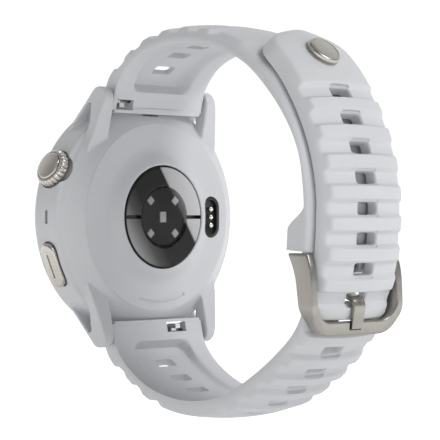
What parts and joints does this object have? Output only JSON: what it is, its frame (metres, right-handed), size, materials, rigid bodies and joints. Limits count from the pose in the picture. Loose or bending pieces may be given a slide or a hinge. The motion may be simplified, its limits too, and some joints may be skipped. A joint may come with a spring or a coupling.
{
  "type": "gps running watch",
  "caption": "Round GPS running watch fastened on its buckle: turning crown, side button, heart-rate sensor, charging contacts and a perforated quick-release strap.",
  "frame": {"origin": "centre of the heart-rate sensor window's outer face, where the watch rests on the wrist", "axes": "+Z towards 12 o'clock, +X towards 3 o'clock and the crown, +Y out of the back of the case towards the wrist; the display faces -Y"},
  "size_m": [0.0432, 0.063, 0.0682],
  "materials": {
    "case_polymer": "matte",
    "strap_rubber": "matte",
    "titanium": "brushed",
    "steel": "satin",
    "glass": "gloss",
    "mirror_metal": "polished",
    "black_plastic": "satin",
    "gold": "polished",
    "board_green": "solder mask",
    "silicon": "gloss",
    "battery_foil": "satin",
    "seal_rubber": "matte"
  },
  "bodies": {
    "case": {"case_middle": "case_polymer", "bezel_ring": "titanium", "front_glass": "glass", "display_panel": "black_plastic", "display_frame": "steel", "antenna_ring": "gold", "main_board": "board_green", "board_screw_1": "steel", "board_screw_2": "steel", "board_screw_3": "steel", "board_screw_4": "steel", "battery": "battery_foil", "haptic_motor": "steel", "back_cover": "case_polymer", "back_gasket": "seal_rubber", "sensor_carrier": "black_plastic", "sensor_window": "glass", "electrode_upper": "mirror_metal", "electrode_lower": "mirror_metal", "sensor_board": "black_plastic", "led_cluster": "silicon", "photodiode_1": "silicon", "photodiode_2": "silicon", "photodiode_3": "silicon", "photodiode_4": "silicon", "charge_socket": "black_plastic", "charge_pin_1": "gold", "charge_pin_2": "gold", "charge_pin_3": "gold", "mic_mesh": "seal_rubber", "crown_bush": "steel", "button_bush": "steel", "crown_switch": "black_plastic", "button_switch": "black_plastic", "upper_bar_tube": "steel", "lower_bar_tube": "steel", "upper_bar_spring": "steel", "lower_bar_spring": "steel", "crown_spring": "steel", "button_spring": "steel", "short_strap": "strap_rubber", "long_strap": "strap_rubber", "tail_stud": "titanium", "buckle_pin": "steel"},
    "crown_plunger": {"crown_stem": "steel"},
    "crown": {"crown_knob": "titanium", "crown_cap": "titanium"},
    "side_button": {"side_button": "titanium", "button_clip": "steel"},
    "upper_release": {"upper_release_pin": "steel"},
    "lower_release": {"lower_release_pin": "steel"},
    "buckle_frame": {"buckle_frame": "titanium"},
    "buckle_tongue": {"buckle_tongue": "titanium"}
  },
  "joints": [
    {"name": "crown_press", "type": "slide", "parent": "case", "child": "crown_plunger", "axis": [-0.9171, 0, -0.3987], "range_m": [0, 0.0006], "stiffness_N_per_m": 1500, "springref_m": -0.0004, "deforming": ["crown_spring"]},
    {"name": "crown_turn", "type": "hinge", "parent": "crown_plunger", "child": "crown", "pos_m": [0.01908, -0.0075, 0.00829], "axis": [0.9171, 0, 0.3987], "continuous": true},
    {"name": "button_press", "type": "slide", "parent": "case", "child": "side_button", "axis": [-0.9171, 0, 0.3987], "range_m": [0, 0.0005], "stiffness_N_per_m": 1800, "springref_m": -0.0004, "deforming": ["button_spring"]},
    {"name": "upper_bar_release", "type": "slide", "parent": "case", "child": "upper_release", "axis": [-1, 0, 0], "range_m": [0, 0.0015], "stiffness_N_per_m": 600, "springref_m": -0.0008, "deforming": ["upper_bar_spring"]},
    {"name": "lower_bar_release", "type": "slide", "parent": "case", "child": "lower_release", "axis": [1, 0, 0], "range_m": [0, 0.0015], "stiffness_N_per_m": 600, "springref_m": -0.0008, "deforming": ["lower_bar_spring"]},
    {"name": "buckle_hinge", "type": "hinge", "parent": "case", "child": "buckle_frame", "pos_m": [0, 0.0439, -0.0079], "axis": [1, 0, 0], "range_deg": [0, 4]},
    {"name": "tongue_hinge", "type": "hinge", "parent": "buckle_frame", "child": "buckle_tongue", "pos_m": [0, 0.0439, -0.0079], "axis": [1, 0, 0], "range_deg": [0, 3]}
  ]
}
